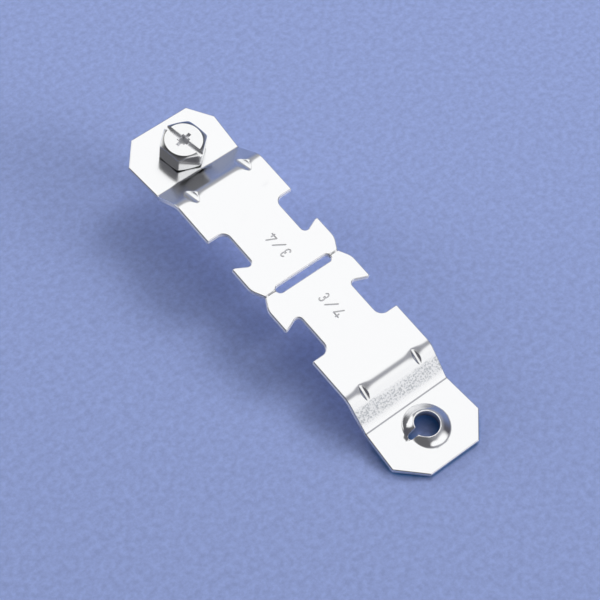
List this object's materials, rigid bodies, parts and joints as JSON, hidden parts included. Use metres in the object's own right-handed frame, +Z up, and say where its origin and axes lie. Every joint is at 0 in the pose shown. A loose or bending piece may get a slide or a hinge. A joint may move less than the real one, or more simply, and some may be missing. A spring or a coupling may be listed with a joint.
{
  "type": "conduit strap",
  "caption": "Folding sheet-steel conduit strap with hooked side notches, stepped end tabs, a hex-head clamp screw in one tab and a raised single-thread hole in the other.",
  "frame": {"origin": "on the ground, under the middle of the strap's box, with the strap lying as it comes to rest", "axes": "+Y along the strap towards the tab with the screw, +Z up, +X across the strap"},
  "size_m": [0.024, 0.1002, 0.0216],
  "materials": {
    "plated_sheet": "bright zinc plate",
    "plated_screw": "bright zinc plate"
  },
  "bodies": {
    "strap": {"strap": "plated_sheet"},
    "screw": {"clamp_screw": "plated_screw"}
  },
  "joints": [
    {"name": "screw_turn", "type": "hinge", "parent": "strap", "child": "screw", "pos_m": [0.0003, 0.04096, 0.01608], "axis": [0, -0.1614, 0.9869], "continuous": true}
  ]
}
